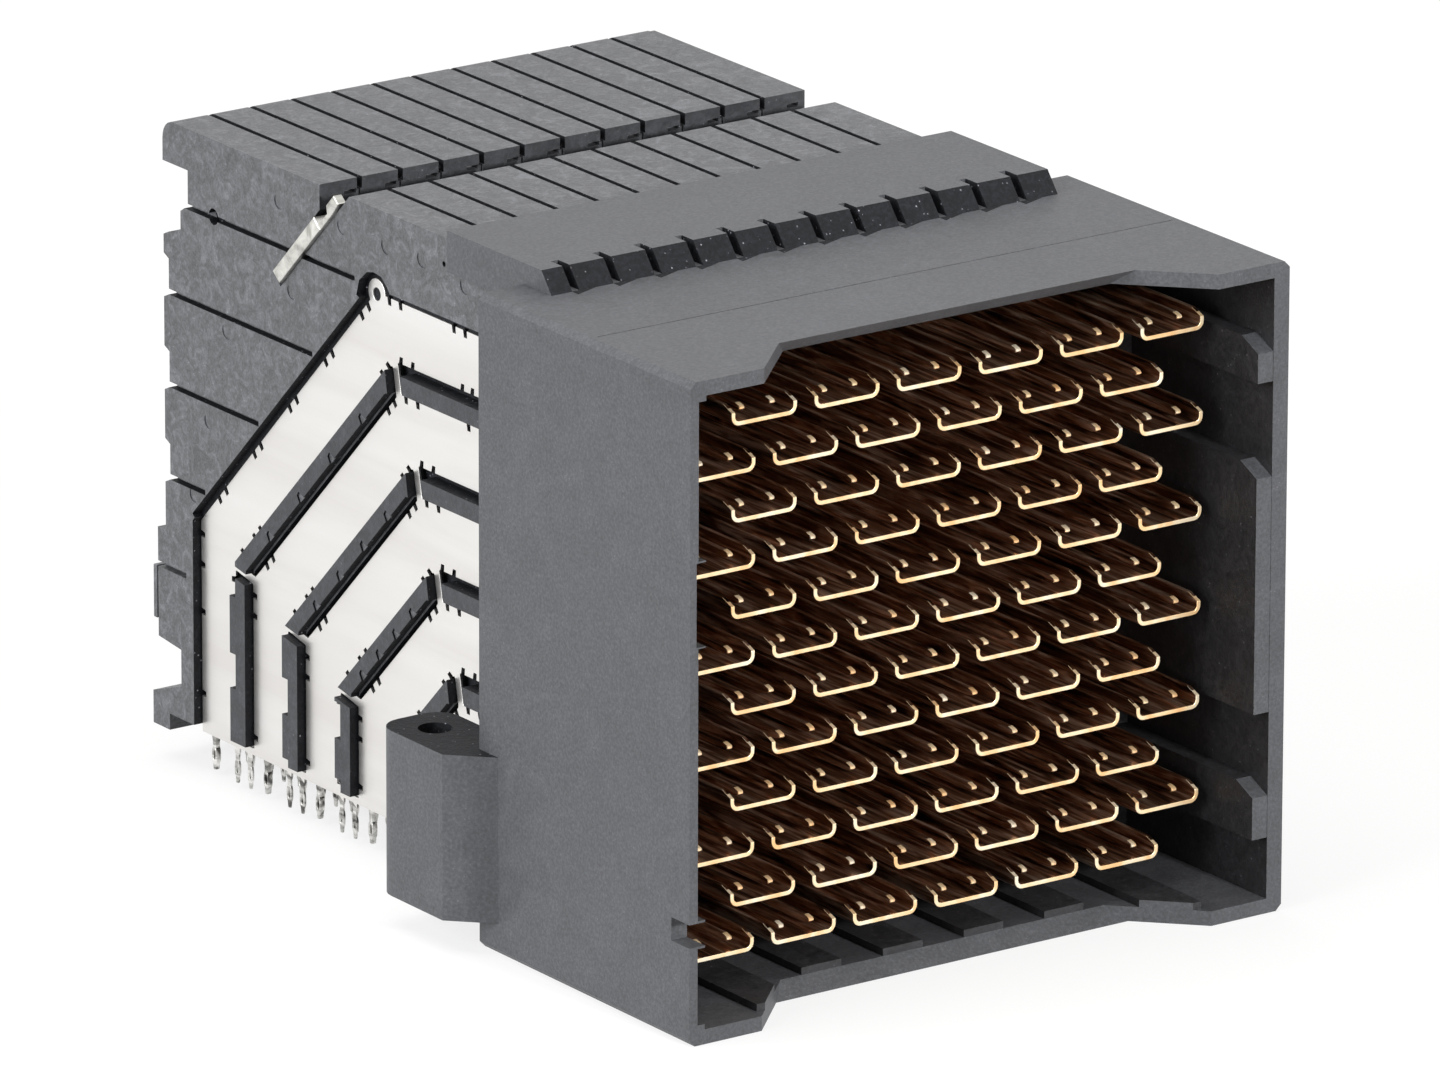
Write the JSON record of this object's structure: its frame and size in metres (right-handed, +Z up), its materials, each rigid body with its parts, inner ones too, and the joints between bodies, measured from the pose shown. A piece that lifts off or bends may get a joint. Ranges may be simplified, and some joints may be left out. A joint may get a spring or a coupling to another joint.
{
  "type": "right-angle backplane header connector",
  "caption": "Right-angle board connector with a deep shroud, rows of U-shaped gold contact shields round paired pins, stacked wafers with tinned side plates and press-fit tails.",
  "frame": {"origin": "on the circuit board's top face, in the middle of the width, below the front rim of the mating face", "axes": "+X across the wafers to the right seen from the mating side, +Y from the mating face back along the board, +Z up from the board"},
  "size_m": [0.0366, 0.0479, 0.0319],
  "materials": {
    "shroud_plastic": "moulded dark grey, fine grain",
    "wafer_plastic": "moulded dark grey with flow marks",
    "tinned_plate": "tin-plated copper alloy sheet",
    "gold_contact": "gold-plated copper alloy",
    "steel_strip": "rolled stainless strip"
  },
  "bodies": {
    "root": {"housing": "shroud_plastic", "wafer_01": "wafer_plastic", "ground_plate_01": "tinned_plate", "signal_leads_01": "gold_contact", "contact_shields_01": "gold_contact", "wafer_02": "wafer_plastic", "ground_plate_02": "tinned_plate", "signal_leads_02": "gold_contact", "contact_shields_02": "gold_contact", "wafer_03": "wafer_plastic", "ground_plate_03": "tinned_plate", "signal_leads_03": "gold_contact", "contact_shields_03": "gold_contact", "wafer_04": "wafer_plastic", "ground_plate_04": "tinned_plate", "signal_leads_04": "gold_contact", "contact_shields_04": "gold_contact", "wafer_05": "wafer_plastic", "ground_plate_05": "tinned_plate", "signal_leads_05": "gold_contact", "contact_shields_05": "gold_contact", "wafer_06": "wafer_plastic", "ground_plate_06": "tinned_plate", "signal_leads_06": "gold_contact", "contact_shields_06": "gold_contact", "wafer_07": "wafer_plastic", "ground_plate_07": "tinned_plate", "signal_leads_07": "gold_contact", "contact_shields_07": "gold_contact", "wafer_08": "wafer_plastic", "ground_plate_08": "tinned_plate", "signal_leads_08": "gold_contact", "contact_shields_08": "gold_contact", "wafer_09": "wafer_plastic", "ground_plate_09": "tinned_plate", "signal_leads_09": "gold_contact", "contact_shields_09": "gold_contact", "wafer_10": "wafer_plastic", "ground_plate_10": "tinned_plate", "signal_leads_10": "gold_contact", "contact_shields_10": "gold_contact", "wafer_11": "wafer_plastic", "ground_plate_11": "tinned_plate", "signal_leads_11": "gold_contact", "contact_shields_11": "gold_contact", "wafer_12": "wafer_plastic", "ground_plate_12": "tinned_plate", "signal_leads_12": "gold_contact", "contact_shields_12": "gold_contact", "stiffener": "steel_strip"}
  },
  "joints": []
}
